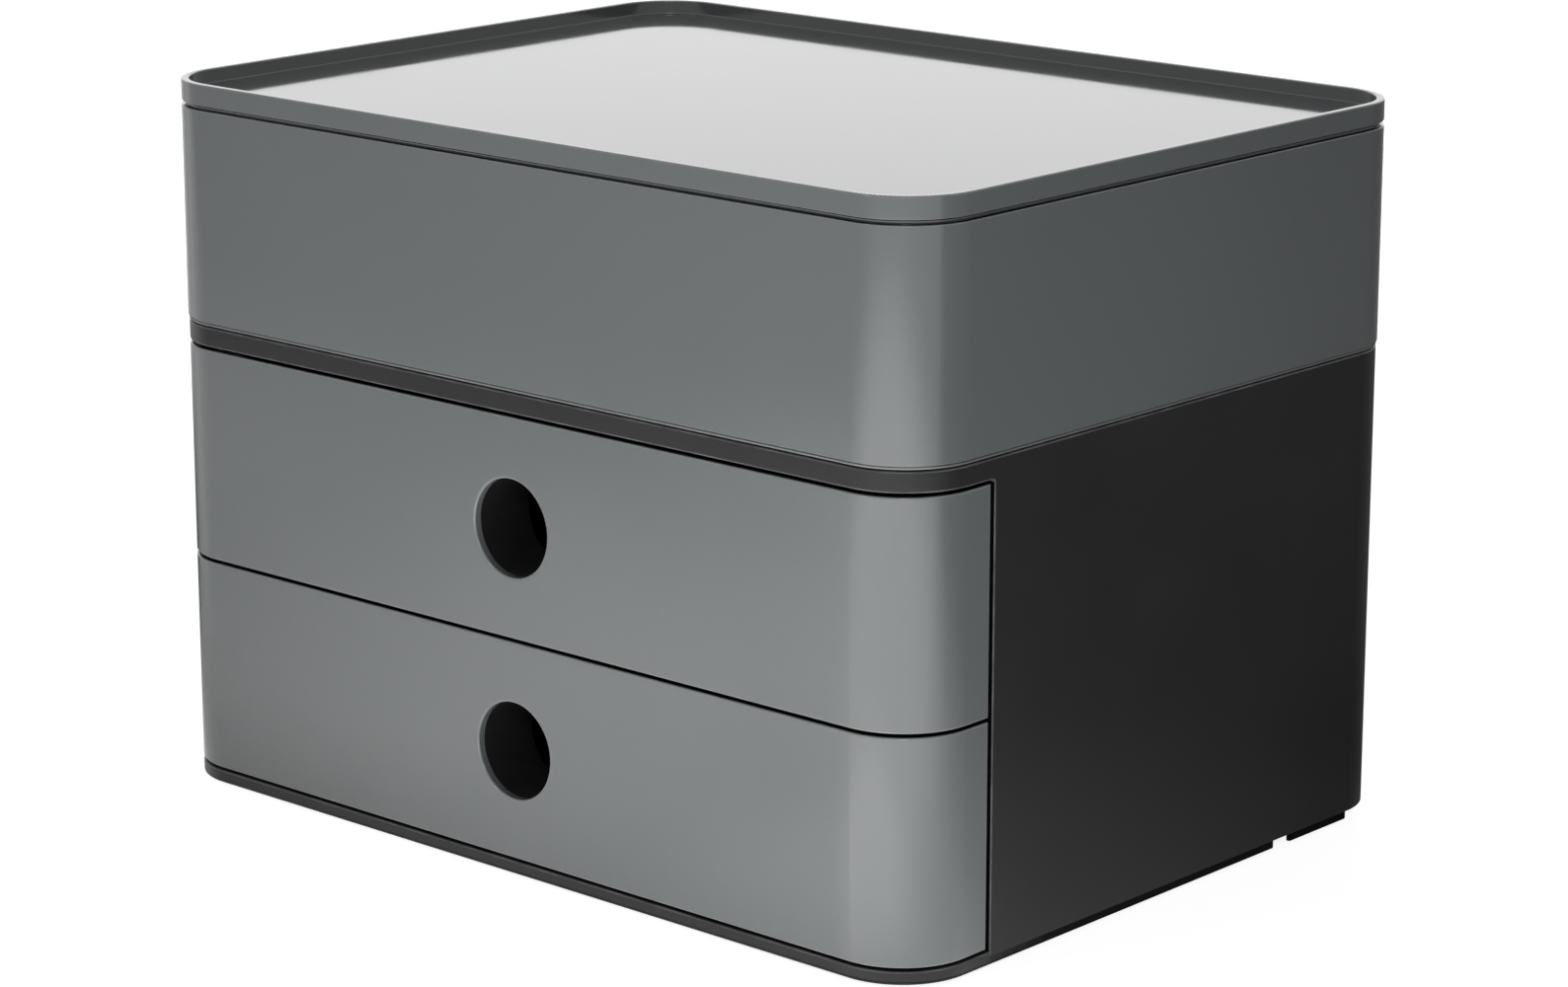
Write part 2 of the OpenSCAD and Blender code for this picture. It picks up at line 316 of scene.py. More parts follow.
# Under the side walls the skirt gets painted shade, darker in steps from the front to the rear
first_shade, shade_step = 0.4, 0.12
for i, y in enumerate((side_front_y, *shade_steps_y)):
    paint_shade(bm, lambda p: p.z < side_z and p.y > y and reach(p) > corner_r - 0.9 * skirt_t,
         -first_shade - shade_step * i)
finished(bm, "base_moulding", "carcass", ["base_plate"], "anthracite_abs", anthracite)


# ---- Rubber feet ----
# Four black rubber discs glued under the base plate, which keep it off the desk. Each has a
# rounded rim and a shallow dish in its sole.


def black_rubber():
    """Moulded nitrile rubber: black and dull, with a bloom that greys it in patches"""
    material, tree, place = new_material("moulded_black_rubber")
    bloom = noise(tree, place, 6, 4.0)
    bump = add(tree, "ShaderNodeBump", {"Strength": 0.3, "Distance": 0.05 * mm},
               {"Height": noise(tree, place, 0.8)})
    shader = add(tree, "ShaderNodeBsdfPrincipled", {"IOR": 1.52, "Specular IOR Level": 0.3},
                 {"Base Color": blended(tree, bloom, "161616", "222222"),
                  "Roughness": spread(tree, bloom, 0.3, 0.7, 0.6, 0.75),
                  "Normal": bump.outputs["Normal"]})
    add(tree, "ShaderNodeOutputMaterial", links={"Surface": shader.outputs["BSDF"]})
    return material


def disc(bm, x, y, z, radius, segments=32, upright=False):
    """Round flat face, which faces up, or forwards when it is upright"""
    turn = Matrix.Rotation(math.radians(90 if upright else 0), 4, "X")
    verts = bmesh.ops.create_circle(bm, cap_ends=True, segments=segments, radius=radius,
                                    matrix=Matrix.Translation((x, y, z)) @ turn)["verts"]
    return verts[0].link_faces[0]


rubber = black_rubber()
sole_edge_r = 0.7 * mm
sole_rim = 2.2 * mm
sole_dish = 0.4 * mm
dish_taper = 0.93
for side in ("left", "right"):
    for end in ("front", "rear"):
        node = f"foot_{end}_{side}"
        low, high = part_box(node)
        middle = (low + high) / 2
        radius = (high.x - low.x) / 2
        bm = blank()
        sole = pull(bm, [disc(bm, middle.x, middle.y, high.z, radius, 48)], z=low.z - high.z)
        round_off(bm, list(sole[0].edges), sole_edge_r)
        sole = [f for f in bm.faces if all(near(v.co.z, low.z) for v in f.verts)]
        inset(bm, sole, sole_rim)
        dish = pull(bm, sole, z=sole_dish)
        bmesh.ops.scale(bm, verts=list(dish[0].verts), vec=(dish_taper, dish_taper, 1),
                        space=Matrix.Translation(-middle))
        finished(bm, f"rubber_{node}", "carcass", [node], "black_rubber", rubber)


# ---- Carcass shell ----
# Deck, side walls and rear corners in one anthracite ABS moulding, open in front for the two
# drawers and behind for the back panel. The band of the deck shows above the upper drawer.

deck_t = 2.6 * mm
band_h = 5.2 * mm
rear_bar_h = 2 * mm
deck_z = carcass_high.z
deck_under_z = deck_z - deck_t
band_z = deck_z - band_h
back_open_x = 106 * mm
back_open_z = deck_under_z - rear_bar_h
outer_edge_r = 0.45 * mm
opening_corner_r = 1.0 * mm
boss_r = 3 * mm
boss_bore_r = 1.3 * mm
boss_h = 12 * mm
boss_end_t = 2 * mm
screw_x = 124.3 * mm
screw_y = (-52 * mm, 8 * mm, 66 * mm)


def box_corners(x0, x1, y0, y1, radius=0.0):
    """Corner points of a rectangle whose four corners have one radius"""
    return [(x0, y0, radius), (x1, y0, radius), (x1, y1, radius), (x0, y1, radius)]


def in_openings(p):
    """True in the drawer opening and in the opening for the back panel"""
    drawers = p.y < side_front_y and p.z < band_z
    return drawers or (p.y > core_y and abs(p.x) < back_open_x and p.z < back_open_z)


bm = blank()
plan = box_corners(-half_w, half_w, -half_d, half_d, corner_r)
under = pull(bm, [outline(bm, plan, deck_z)], z=side_z - deck_z)
inset(bm, under, wall)
pull(bm, under, z=deck_under_z - side_z)
cut(bm, (0, side_front_y, 0), (0, 1, 0))
cut(bm, (0, 0, band_z), (0, 0, 1))
cut(bm, (0, 0, back_open_z), (0, 0, 1))
cut(bm, (back_open_x, 0, 0), (1, 0, 0))
cut(bm, (-back_open_x, 0, 0), (1, 0, 0))
bmesh.ops.delete(bm, geom=faces_where(bm, in_openings), context="FACES")
for front in (True, False):
    rim = [e for e in bm.edges if e.is_boundary and (e.verts[0].co.y < 0) == front
           and not all(near(v.co.z, side_z) for v in e.verts)]
    bmesh.ops.bridge_loops(bm, edges=rim)
bmesh.ops.recalc_face_normals(bm, faces=bm.faces)
bmesh.ops.dissolve_limit(bm, angle_limit=math.radians(1), verts=bm.verts, edges=bm.edges)
corner_edges = edges_where(bm, lambda p: near(p.z, band_z) and near(p.y, side_front_y)
                           and reach(p) > corner_r - wall - 0.1 * mm)
round_off(bm, corner_edges, opening_corner_r, 4)
outer = [e for e in bm.edges if e.is_manifold and e.calc_face_angle() > math.radians(50)
         and all(near(reach(v.co), corner_r) for v in e.verts)
         and not all(near(v.co.z, side_z) for v in e.verts)]
round_off(bm, outer, outer_edge_r)
# Painted shade on the front ends of the side walls, beside the drawers
paint_shade(bm, lambda p: near(p.y, side_front_y) and p.z < band_z)
for side in (-1, 1):
    for y in screw_y:
        boss = disc(bm, side * screw_x, y, lip_z, boss_r)
        pull(bm, [boss], z=boss_h)
        inset(bm, [boss], boss_r - boss_bore_r)
        pull(bm, [boss], z=boss_h - boss_end_t)
finished(bm, "carcass_moulding", "carcass", ["carcass_shell"], "anthracite_abs", anthracite)


# ---- Base screws ----
# Six zinc-plated pan head screws, driven up through the base plate into the bosses of the side
# walls. Each has a cross recess and a coarse thread for plastic.


def zinc_plated_steel():
    """Barrel-plated zinc on steel: pale grey, a little blue, with fine scratches in all directions"""
    material, tree, place = new_material("zinc_plated_steel")
    patch = noise(tree, place, 1.5, 4.0)
    bump = add(tree, "ShaderNodeBump", {"Strength": 0.2, "Distance": 0.02 * mm},
               {"Height": noise(tree, place, 0.25, 4.0)})
    shader = add(tree, "ShaderNodeBsdfPrincipled", {"Metallic": 1.0},
                 {"Base Color": blended(tree, patch, "AEB2B4", "C4C6C5"),
                  "Roughness": spread(tree, patch, 0.3, 0.7, 0.28, 0.42),
                  "Normal": bump.outputs["Normal"]})
    add(tree, "ShaderNodeOutputMaterial", links={"Surface": shader.outputs["BSDF"]})
    return material


def stamp(bm, face, patches):
    """Fits smaller faces that lie in a flat face into it, edge to edge"""
    normal = face.normal.copy()
    edges = list(face.edges) + [e for patch in patches for e in patch.edges]
    bmesh.ops.delete(bm, geom=[face], context="FACES_ONLY")
    bmesh.ops.triangle_fill(bm, use_beauty=True, edges=edges, normal=normal)


def pan_head_screw(bm, head_r, head_h, shank_r, length):
    """Screw on the Z axis: its head from 0 down to -head_h, its thread from 0 up to length"""
    neck = disc(bm, 0, 0, 0, head_r, 24)
    crown = pull(bm, [neck], z=-head_h)
    round_off(bm, list(crown[0].edges), 0.5 * head_h, 4)
    crown = faces_where(bm, lambda p: near(p.z, -head_h))[0]
    arm, half_arm = 0.55 * head_r, 0.12 * head_r
    cross = [(half_arm, -arm), (half_arm, -half_arm), (arm, -half_arm), (arm, half_arm),
             (half_arm, half_arm), (half_arm, arm), (-half_arm, arm), (-half_arm, half_arm),
             (-arm, half_arm), (-arm, -half_arm), (-half_arm, -half_arm), (-half_arm, -arm)]
    recess = outline(bm, [(x, y, 0) for x, y in cross], -head_h)
    stamp(bm, crown, [recess])
    floor = pull(bm, [recess], z=0.6 * head_h)
    bmesh.ops.scale(bm, verts=list(floor[0].verts), vec=(0.5, 0.5, 1))
    inset(bm, [neck], head_r - shank_r)
    ring = [neck]
    pitch, root = 0.9 * mm, 0.76
    for _ in range(int(length / pitch)):
        for factor, step in ((root, 0.3), (1, 0.2), (1 / root, 0.3), (1, 0.2)):
            ring = pull(bm, ring, z=step * pitch)
            bmesh.ops.scale(bm, verts=list(ring[0].verts), vec=(factor, factor, 1))


def copies(bm, places):
    """Puts a copy of the whole mesh at each place, the first one by moving it there"""
    whole = bm.verts[:] + bm.edges[:] + bm.faces[:]
    for place in places[1:]:
        made = bmesh.ops.duplicate(bm, geom=whole)["geom"]
        bmesh.ops.translate(bm, verts=points_in(made), vec=place)
    bmesh.ops.translate(bm, verts=points_in(whole), vec=places[0])


zinc = zinc_plated_steel()
screw_head_r, screw_head_h, screw_r = 2.6 * mm, 1.3 * mm, 1.3 * mm
screw_low, screw_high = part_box("base_screws")
neck_z = screw_low.z + screw_head_h
bm = blank()
pan_head_screw(bm, screw_head_r, screw_head_h, screw_r, screw_high.z - neck_z)
copies(bm, [(side * screw_x, y, neck_z) for side in (-1, 1) for y in screw_y])
finished(bm, "zinc_base_screws", "carcass", ["base_screws"], "zinc_screw", zinc)


# ---- Back panel ----
# A flat anthracite ABS panel, pushed out from the inside into the opening at the rear. Its
# flange bears on the rear corners and on the deck, and a fine gap shows all round it.

panel_low, panel_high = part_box("back_panel")
plug_gap = 0.2 * mm
plug_x = back_open_x - plug_gap
plug_top_z = back_open_z - plug_gap
plug_edge_r = 0.5 * mm
flange_y = half_d - wall


def face_front(bm):
    """Turns what is drawn in plan to stand up: plan Y becomes height, and height becomes -Y"""
    upright = Matrix.Rotation(math.radians(90), 3, "X")
    bmesh.ops.rotate(bm, verts=bm.verts, cent=(0, 0, 0), matrix=upright)


bm = blank()
plan = box_corners(-plug_x, plug_x, panel_low.z, plug_top_z)
pull(bm, [outline(bm, plan, -panel_high.y)], z=panel_high.y - panel_low.y)
face_front(bm)
cut(bm, (0, flange_y, 0), (0, 1, 0))
for side in (-1, 1):
    edge_faces = faces_where(bm, lambda p: near(p.x, side * plug_x) and p.y < flange_y)
    pull(bm, edge_faces, x=side * (panel_high.x - plug_x))
top_faces = faces_where(bm, lambda p: near(p.z, plug_top_z) and p.y < flange_y)
pull(bm, top_faces, z=panel_high.z - plug_top_z)
round_off(bm, edges_where(bm, lambda p: near(p.y, panel_high.y)), plug_edge_r)
finished(bm, "back_moulding", "carcass", ["back_panel"], "anthracite_abs", anthracite)


# ---- Runners ----
# Four black acetal channels, one on each side wall for each tray. The rim of a tray slides in
# the channel, and a block at its front end stops the tray from coming out.


def black_acetal():
    """Extruded acetal: black and waxy, with faint lines along the way that it was drawn"""
    material, tree, place = new_material("extruded_black_acetal")
    drawn = add(tree, "ShaderNodeMapping", {"Scale": (1, 0.03, 1)}, {"Vector": place}).outputs["Vector"]
    lines = noise(tree, drawn, 0.7, 3.0)
    bump = add(tree, "ShaderNodeBump", {"Strength": 0.2, "Distance": 0.02 * mm}, {"Height": lines})
    shader = add(tree, "ShaderNodeBsdfPrincipled", {"IOR": 1.48, "Specular IOR Level": 0.5},
                 {"Base Color": blended(tree, lines, "121213", "1B1B1C"),
                  "Roughness": spread(tree, lines, 0.3, 0.7, 0.25, 0.38),
                  "Normal": bump.outputs["Normal"]})
    add(tree, "ShaderNodeOutputMaterial", links={"Surface": shader.outputs["BSDF"]})
    return material


acetal = black_acetal()
web = 1.6 * mm
ledge_t = 1.8 * mm
runner_edge_r = 0.35 * mm
stop_len = 4 * mm
stop_x = 124.6 * mm
for level in ("lower", "upper"):
    for name, side in (("left", -1), ("right", 1)):
        node = f"runner_{level}_{name}"
        low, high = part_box(node)
        outer_x = max(abs(low.x), abs(high.x))
        tip_x = min(abs(low.x), abs(high.x))
        bm = blank()
        plan = [(outer_x, low.z, 0), (outer_x, high.z, 0), (tip_x, high.z, 0),
                (tip_x, high.z - ledge_t, 0), (outer_x - web, high.z - ledge_t, 0),
                (outer_x - web, low.z + ledge_t, 0), (tip_x, low.z + ledge_t, 0), (tip_x, low.z, 0)]
        pull(bm, [outline(bm, plan, -high.y)], z=high.y - low.y)
        round_off(bm, [e for e in bm.edges if e.calc_face_angle_signed(0) > 1], runner_edge_r, 2)
        slot_z = (low.z + ledge_t, high.z - ledge_t)
        stop = outline(bm, box_corners(stop_x, outer_x - web / 2, *slot_z), -low.y)
        pull(bm, [stop], z=-stop_len)
        face_front(bm)
        bmesh.ops.scale(bm, verts=bm.verts, vec=(side, 1, 1))
        bmesh.ops.recalc_face_normals(bm, faces=bm.faces)
        finished(bm, f"acetal_{node}", "carcass", [node], "black_acetal", acetal)


# ---- Bumpers ----
# Two rubber buttons for each drawer, pressed on the back panel, which the tray meets when the
# drawer is pushed home.

bumper_r = 4 * mm
bumper_edge_r = 1.2 * mm
bumper_x = 78 * mm
for level in ("lower", "upper"):
    node = f"bumpers_{level}"
    low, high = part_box(node)
    bm = blank()
    for side in (-1, 1):
        back = disc(bm, side * bumper_x, (low.z + high.z) / 2, -high.y, bumper_r)
        tip = pull(bm, [back], z=high.y - low.y)
        round_off(bm, list(tip[0].edges), bumper_edge_r, 4)
    face_front(bm)
    finished(bm, f"rubber_{node}", "carcass", [node], "black_rubber", rubber)


# ---- Drawer fronts ----
# Two fronts moulded in grey ABS in a mirror-polished tool. Each wraps round both front corners,
# has a finger hole in the middle, and carries four bosses behind for the screws of its tray.


def gloss_grey_abs():
    """Polished ABS moulding: deep grey under a wet gloss, with faint flow marks, edges lighter from
    wear and a painted highlight, and painted shade where marked
    """
    material, tree, place = new_material("gloss_grey_abs")
    flow = noise(tree, place, 60, 2.0)
    body = blended(tree, flow, "65696A", "6A6E6F")
    # Lighter edge colour A2A5A6: partly wear, partly painted highlight
    rubbed_and_highlit = blended(tree, edge_wear_and_highlight(tree, place, 0.35), body, "A2A5A6")
    # Faces marked -1 get painted shade, near black 141516
    colour = blended(tree, spread(tree, mark(tree), -1, 0, 1, 0), rubbed_and_highlit, "141516")
    smear = noise(tree, place, 18, 4.0)
    bump = add(tree, "ShaderNodeBump", {"Strength": 0.03, "Distance": 0.02 * mm},
               {"Height": noise(tree, place, 2.5)})
    shader = add(tree, "ShaderNodeBsdfPrincipled", {"IOR": 1.54},
                 {"Base Color": colour, "Roughness": spread(tree, smear, 0.3, 0.7, 0.06, 0.09),
                  "Normal": bump.outputs["Normal"]})
    add(tree, "ShaderNodeOutputMaterial", links={"Surface": shader.outputs["BSDF"]})
    return material


def circle_edges(bm, x, y, z, radius):
    """Edges of an upright round hole or boss at one depth"""
    return edges_where(bm, lambda p: near(p.y, y) and near(math.hypot(p.x - x, p.z - z), radius))


def largest_face(bm, test):
    """Largest of the faces whose corners are all where test is true"""
    inside = [f for f in bm.faces if all(test(v.co) for v in f.verts)]
    return max(inside, key=lambda f: f.calc_area())


grey = gloss_grey_abs()
finger_r = 12.5 * mm
front_in_y = wall - half_d
tray_front_y = front_in_y + 5 * mm
boss_places = [(x * mm, z * mm) for x in (-72, 72) for z in (-15, 15)]
front_boss_r = 3.5 * mm
front_bore_end_y = front_in_y + 0.6 * mm
inner_edge_r = 0.25 * mm
hole_ring, hole_edge_r = 1.2 * mm, 0.5 * mm
inner_hole_ring, inner_hole_edge_r = 0.8 * mm, 0.4 * mm
for level in ("lower", "upper"):
    low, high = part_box(f"{level}_drawer_front")
    middle_z = (low.z + high.z) / 2
    bm = blank()
    inner_r = corner_r - wall
    plan = [(-half_w, front_end_y, 0), (-half_w, -half_d, corner_r), (half_w, -half_d, corner_r),
            (half_w, front_end_y, 0), (half_w - wall, front_end_y, 0),
            (half_w - wall, front_in_y, inner_r), (wall - half_w, front_in_y, inner_r),
            (wall - half_w, front_end_y, 0)]
    pull(bm, [outline(bm, plan, high.z)], z=low.z - high.z)
    sharp = [e for e in bm.edges if e.calc_face_angle() > math.radians(50)]
    outer = [e for e in sharp if all(near(reach(v.co), corner_r) for v in e.verts)]
    inner = [e for e in sharp if all(near(reach(v.co), inner_r) for v in e.verts)]
    round_off(bm, outer, outer_edge_r, 4)
    round_off(bm, [e for e in inner if e.is_valid], inner_edge_r, 2)
    # Painted shade on the top and bottom faces of the front, in the gaps above and below it
    paint_shade(bm, lambda p: (near(p.z, low.z) or near(p.z, high.z)) and reach(p) < corner_r - 0.5 * mm)
    # Painted shade on the rear ends of the front's returns, beside the carcass
    paint_shade(bm, lambda p: near(p.y, front_end_y))
    holes = []
    for y, ring_w, bosses in ((-half_d, hole_ring, []), (front_in_y, inner_hole_ring, boss_places)):
        face = largest_face(bm, lambda p: near(p.y, y))
        hole = disc(bm, 0, y, middle_z, finger_r + ring_w, 64, upright=True)
        discs = [disc(bm, x, y, middle_z + z, front_boss_r, 24, upright=True) for x, z in bosses]
        stamp(bm, face, [hole] + discs)
        bmesh.ops.recalc_face_normals(bm, faces=bm.faces)
        inset(bm, [hole], ring_w)
        holes.append(hole)
        for patch in discs:
            end = pull(bm, [patch], y=tray_front_y - front_in_y)
            inset(bm, end, front_boss_r - screw_r)
            pull(bm, end, y=front_bore_end_y - tray_front_y)
    rims = [e for hole in holes for e in hole.edges]
    bmesh.ops.delete(bm, geom=holes, context="FACES_ONLY")
    bmesh.ops.bridge_loops(bm, edges=rims)
    bmesh.ops.recalc_face_normals(bm, faces=bm.faces)
    round_off(bm, circle_edges(bm, 0, -half_d, middle_z, finger_r), hole_edge_r, 4)
    round_off(bm, circle_edges(bm, 0, front_in_y, middle_z, finger_r), inner_hole_edge_r, 3)
    node = f"{level}_drawer_front"
    finished(bm, f"{node}_moulding", f"{level}_drawer", [node], "granite_gloss_abs", grey)


# ---- Drawer trays ----
# Deep trays in satin black ABS. The rim all round the top runs in the channels, closes the space
# behind the front, and has an ear on each side that meets the stop when the drawer is out. A
# collar carries the finger hole on into the tray, so that nothing inside catches in it.


def satin_tray_abs():
    """Moulded ABS for the inside: nearly black, a dry satin that shows light scuffs on its floor, and
    edges lighter from wear and a painted highlight
    """
    material, tree, place = new_material("satin_tray_abs")
    scuff = noise(tree, add(tree, "ShaderNodeMapping", {"Scale": (1, 0.08, 1)},
                            {"Vector": place}).outputs["Vector"], 1.2, 4.0)
    body = blended(tree, spread(tree, scuff, 0.55, 0.8, 0.0, 0.5), "1E1E1F", "2E2E30")
    # Lighter edge colour 454548: partly wear, partly painted highlight
    colour = blended(tree, edge_wear_and_highlight(tree, place, 0.4), body, "454548")
    bump = add(tree, "ShaderNodeBump", {"Strength": 0.15, "Distance": 0.03 * mm},
               {"Height": noise(tree, place, 0.6)})
    shader = add(tree, "ShaderNodeBsdfPrincipled", {"IOR": 1.5, "Specular IOR Level": 0.4},
                 {"Base Color": colour, "Roughness": spread(tree, scuff, 0.3, 0.7, 0.36, 0.46),
                  "Normal": bump.outputs["Normal"]})
    add(tree, "ShaderNodeOutputMaterial", links={"Surface": shader.outputs["BSDF"]})
    return material


tray_black = satin_tray_abs()
tray_wall = 2 * mm
tray_x = 120.5 * mm
tray_rear_y = 88 * mm
tray_corner_r, well_corner_r = 5 * mm, 3 * mm
tray_edge_r, well_fillet_r = 1.5 * mm, 1.8 * mm
rim_t, rim_corner_r, rim_edge_r = 2 * mm, 7 * mm, 0.3 * mm
flange_x = 124.2 * mm
ear_x = 125.3 * mm
rim_end_y = -71.2 * mm
collar_r, collar_bore_r = 14.2 * mm, 12.6 * mm
collar_front_y, collar_rear_y = front_in_y + 0.1 * mm, -78 * mm
collar_edge_r = 0.4 * mm
screw_hole_r = 1.6 * mm
ear_len = 6 * mm
for level in ("lower", "upper"):
    low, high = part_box(f"{level}_drawer_tray")
    front_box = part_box(f"{level}_drawer_front")
    middle_z = (front_box[0].z + front_box[1].z) / 2
    stop_rear_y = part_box(f"runner_{level}_left")[0].y + stop_len
    travel = next(j["range_m"][1] for j in frame["joints"] if j["name"] == f"{level}_drawer_slide")
    ear_y = stop_rear_y + travel + 0.5 * mm
    side_path = [(half_w - wall, front_in_y, corner_r - wall), (half_w - wall, rim_end_y, 0),
                 (flange_x, rim_end_y, 0), (flange_x, ear_y, 0), (ear_x, ear_y, 0),
                 (ear_x, ear_y + ear_len, 0), (flange_x, ear_y + ear_len, 0),
                 (flange_x, tray_rear_y, rim_corner_r)]
    plan = side_path + [(-x, y, radius) for x, y, radius in reversed(side_path)]
    bm = blank()
    rim_top = outline(bm, plan, high.z)
    pull(bm, [rim_top], z=-rim_t)
    round_off(bm, [e for e in bm.edges if e.calc_face_angle() > math.radians(70)], rim_edge_r, 2)
    rim_top = largest_face(bm, lambda p: near(p.z, high.z))
    rim_under = largest_face(bm, lambda p: near(p.z, high.z - rim_t))
    body_plan = box_corners(-tray_x, tray_x, tray_front_y, tray_rear_y, tray_corner_r)
    body = outline(bm, body_plan, high.z - rim_t, 6)
    stamp(bm, rim_under, [body])
    pull(bm, [body], z=low.z + rim_t - high.z)
    well_plan = box_corners(tray_wall - tray_x, tray_x - tray_wall, tray_front_y + tray_wall,
                            tray_rear_y - tray_wall, well_corner_r)
    well = outline(bm, well_plan, high.z, 6)
    stamp(bm, rim_top, [well])
    floor = pull(bm, [well], z=low.z + tray_wall - high.z)
    round_off(bm, list(floor[0].edges), well_fillet_r, 4, painted_light_and_wear=0.0)
    round_off(bm, edges_where(bm, lambda p: near(p.z, low.z)), tray_edge_r, 3)
    holes = [(0, 0, collar_r, 64)] + [(x, z, screw_hole_r, 16) for x, z in boss_places]
    pairs = [[], []]
    for i, y in enumerate((tray_front_y, tray_front_y + tray_wall)):
        face = largest_face(bm, lambda p: near(p.y, y))
        pairs[i] = [disc(bm, x, y, middle_z + z, radius, steps, upright=True)
                    for x, z, radius, steps in holes]
        stamp(bm, face, pairs[i])
    bmesh.ops.recalc_face_normals(bm, faces=bm.faces)
    for pair, length in zip(pairs, (collar_front_y - tray_front_y,
                                    collar_rear_y - tray_front_y - tray_wall)):
        [pair[0]] = pull(bm, [pair[0]], y=length)
        inset(bm, [pair[0]], collar_r - collar_bore_r)
    for a, b in zip(*pairs):
        rims = list(a.edges) + list(b.edges)
        bmesh.ops.delete(bm, geom=[a, b], context="FACES_ONLY")
        bmesh.ops.bridge_loops(bm, edges=rims)
    bmesh.ops.recalc_face_normals(bm, faces=bm.faces)
    for radius in (collar_r, collar_bore_r):
        rear_edge = circle_edges(bm, 0, collar_rear_y, middle_z, radius)
        round_off(bm, rear_edge, collar_edge_r, 3, painted_light_and_wear=0.0)
    node = f"{level}_drawer_tray"
    finished(bm, f"{node}_moulding", f"{level}_drawer", [node], "tray_abs", tray_black)


# ---- Drawer screws ----
# Four zinc-plated pan head screws for each drawer, driven from inside the tray into the bosses
# of its front.

for level in ("lower", "upper"):
    low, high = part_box(f"{level}_drawer_screws")
    neck_y = high.y - screw_head_h
    middle_z = (low.z + high.z) / 2
    bm = blank()
    pan_head_screw(bm, screw_head_r, screw_head_h, screw_r, neck_y - low.y)
    face_front(bm)
    copies(bm, [(x, neck_y, middle_z + z) for x, z in boss_places])
    node = f"{level}_drawer_screws"
    finished(bm, f"zinc_{node}", f"{level}_drawer", [node], "zinc_screw", zinc)


# ---- Utensil box ----
# An open box in the same polished grey ABS, which stands loose on the deck. A fine groove runs
# above its foot, and its rim is stepped in, so that dark lines show under it and under the lid.
# The step of the rim and the narrow wall above it also carry painted shade.

box_low, box_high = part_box("utensil_box")
box_r = 19.5 * mm
wall_end_z = box_low.z + 0.8 * mm
foot_top_z = box_low.z + 0.4 * mm
foot_low_z = box_low.z - 0.1 * mm
foot_groove = 0.6 * mm
foot_inset = 0.25 * mm
rim_step_z = box_high.z - 0.55 * mm
rim_inset = 1.9 * mm
step_edge_r, wall_edge_r, rim_top_edge_r = 0.3 * mm, 0.15 * mm, 0.2 * mm
box_floor_z = box_low.z + wall
box_fillet_r = 2.0 * mm
pads_low, pads_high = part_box("box_pads")
pad_r = 6 * mm
pad_pocket_r = pad_r + 0.1 * mm
pad_places = [(x * 102 * mm, y * 69.5 * mm) for x in (-1, 1) for y in (-1, 1)]

bm = blank()
plan = box_corners(box_low.x, box_high.x, box_low.y, box_high.y, box_r)
shoulder = outline(bm, plan, rim_step_z, 24)
under = pull(bm, [shoulder], z=wall_end_z - rim_step_z)
inset(bm, under, foot_groove)
under = pull(bm, under, z=foot_top_z - wall_end_z)
under = pull(bm, under, wider=foot_groove - foot_inset)
sole = pull(bm, under, z=foot_low_z - foot_top_z)
inset(bm, [shoulder], rim_inset)
rim = pull(bm, [shoulder], z=box_high.z - rim_step_z)
inset(bm, rim, wall - rim_inset)
floor = pull(bm, rim, z=box_floor_z - box_high.z)
round_off(bm, list(floor[0].edges), box_fillet_r, 4, painted_light_and_wear=0.0)
step_edge = edges_where(bm, lambda p: near(reach(p), box_r) and near(p.z, rim_step_z))
round_off(bm, step_edge, step_edge_r, 3)
wall_edge = edges_where(bm, lambda p: near(reach(p), box_r) and near(p.z, wall_end_z))
round_off(bm, wall_edge, wall_edge_r, 2)
round_off(bm, edges_where(bm, lambda p: near(p.z, box_high.z)), rim_top_edge_r, 2)
round_off(bm, list(sole[0].edges), wall_edge_r, 2)
# Painted shade on the step of the rim and the narrow wall above it, under the lid
paint_shade(bm, lambda p: rim_step_z - 0.01 * mm < p.z < box_high.z - 0.1 * mm
     and reach(p) < box_r - 0.35 * mm)
sole = largest_face(bm, lambda p: near(p.z, foot_low_z))
pockets = [disc(bm, x, y, foot_low_z, pad_pocket_r, 32) for x, y in pad_places]
stamp(bm, sole, pockets)
for pocket in pockets:
    pull(bm, [pocket], z=pads_high.z - foot_low_z)
finished(bm, "box_moulding", "box", ["utensil_box"], "granite_gloss_abs", grey)


# ---- Box pads ----
# Four clear silicone bumper pads, stuck in shallow pockets under the box, so that it neither
# slides on the deck nor marks it.


def clear_silicone():
    """Cast silicone: milky and clear, soft edged, with fine lint that clings to it"""
    material, tree, place = new_material("cast_clear_silicone")
    lint = noise(tree, place, 1.2, 4.0)
    shader = add(tree, "ShaderNodeBsdfPrincipled",
                 {"IOR": 1.41, "Transmission Weight": 0.6, "Subsurface Weight": 0.0},
                 {"Base Color": blended(tree, lint, "C9CCCE", "DDE0E1"),
                  "Roughness": spread(tree, lint, 0.3, 0.7, 0.3, 0.45)})
    add(tree, "ShaderNodeOutputMaterial", links={"Surface": shader.outputs["BSDF"]})
    return material


silicone = clear_silicone()
pad_edge_r = 1.0 * mm
bm = blank()
for x, y in pad_places:
    top = disc(bm, x, y, pads_high.z, pad_r)
    tip = pull(bm, [top], z=pads_low.z - pads_high.z)
    round_off(bm, list(tip[0].edges), pad_edge_r, 4)
finished(bm, "silicone_box_pads", "box", ["box_pads"], "clear_silicone", silicone)


# ---- Lid ----
# A shallow polished tray in grey ABS that lies loose on the box. The rim keeps small things on
# it. A fine groove runs above its lower lip, and a ring drops inside the box and centres it. The
# groove, the inner walls of the rim and the crease round the floor carry painted shade.

